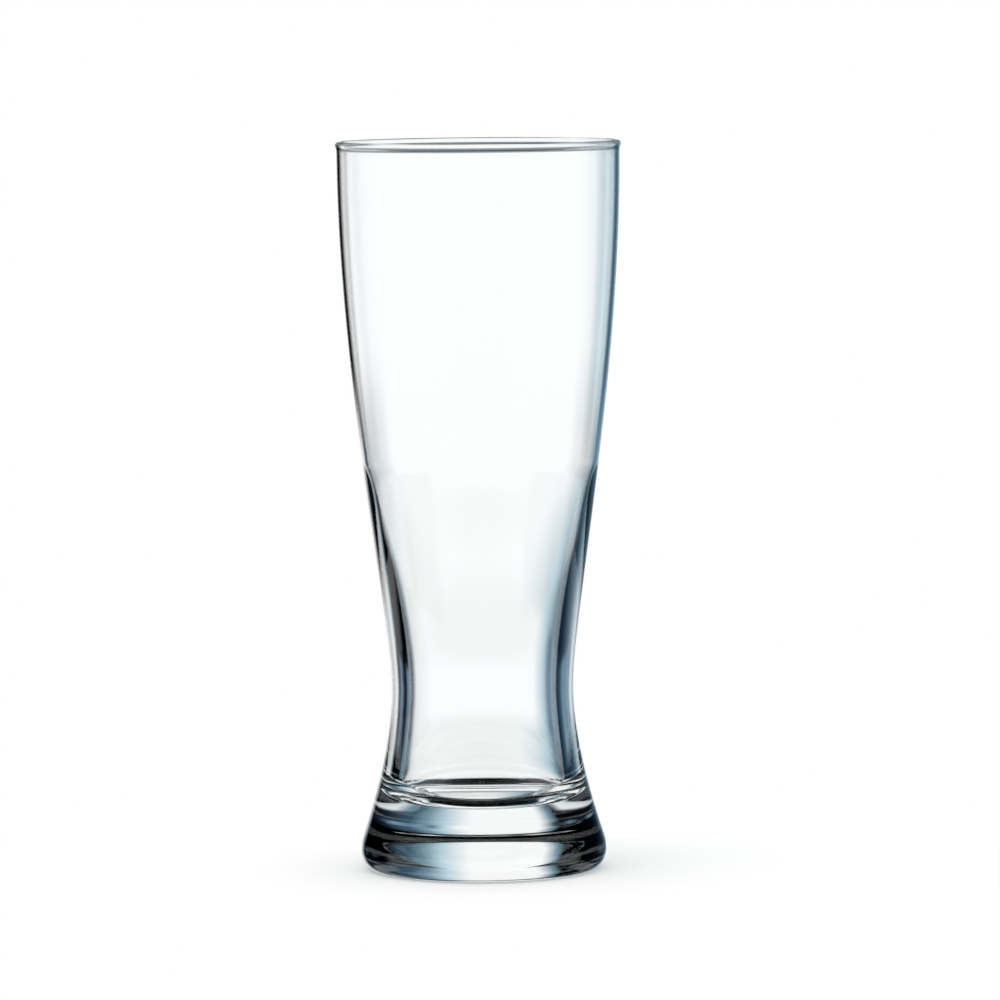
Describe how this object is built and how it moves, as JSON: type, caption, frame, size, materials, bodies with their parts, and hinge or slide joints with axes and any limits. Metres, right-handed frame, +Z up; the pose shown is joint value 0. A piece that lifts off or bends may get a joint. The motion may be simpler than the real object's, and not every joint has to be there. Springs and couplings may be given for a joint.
{
  "type": "pilsner glass",
  "caption": "Tall flared beer glass of clear glass, with a beaded rim, a drawn-in waist, a thick lower wall and a heavy solid foot.",
  "frame": {"origin": "centre of the circle that the foot stands on, at the level of the table", "axes": "+Z up along the axis of the glass, from the foot to the rim; X and Y are alike, because the glass is round"},
  "size_m": [0.072, 0.072, 0.184],
  "materials": {
    "clear_glass": "clear, fire-polished"
  },
  "bodies": {
    "root": {"rim": "clear_glass", "bowl": "clear_glass", "foot": "clear_glass"}
  },
  "joints": []
}
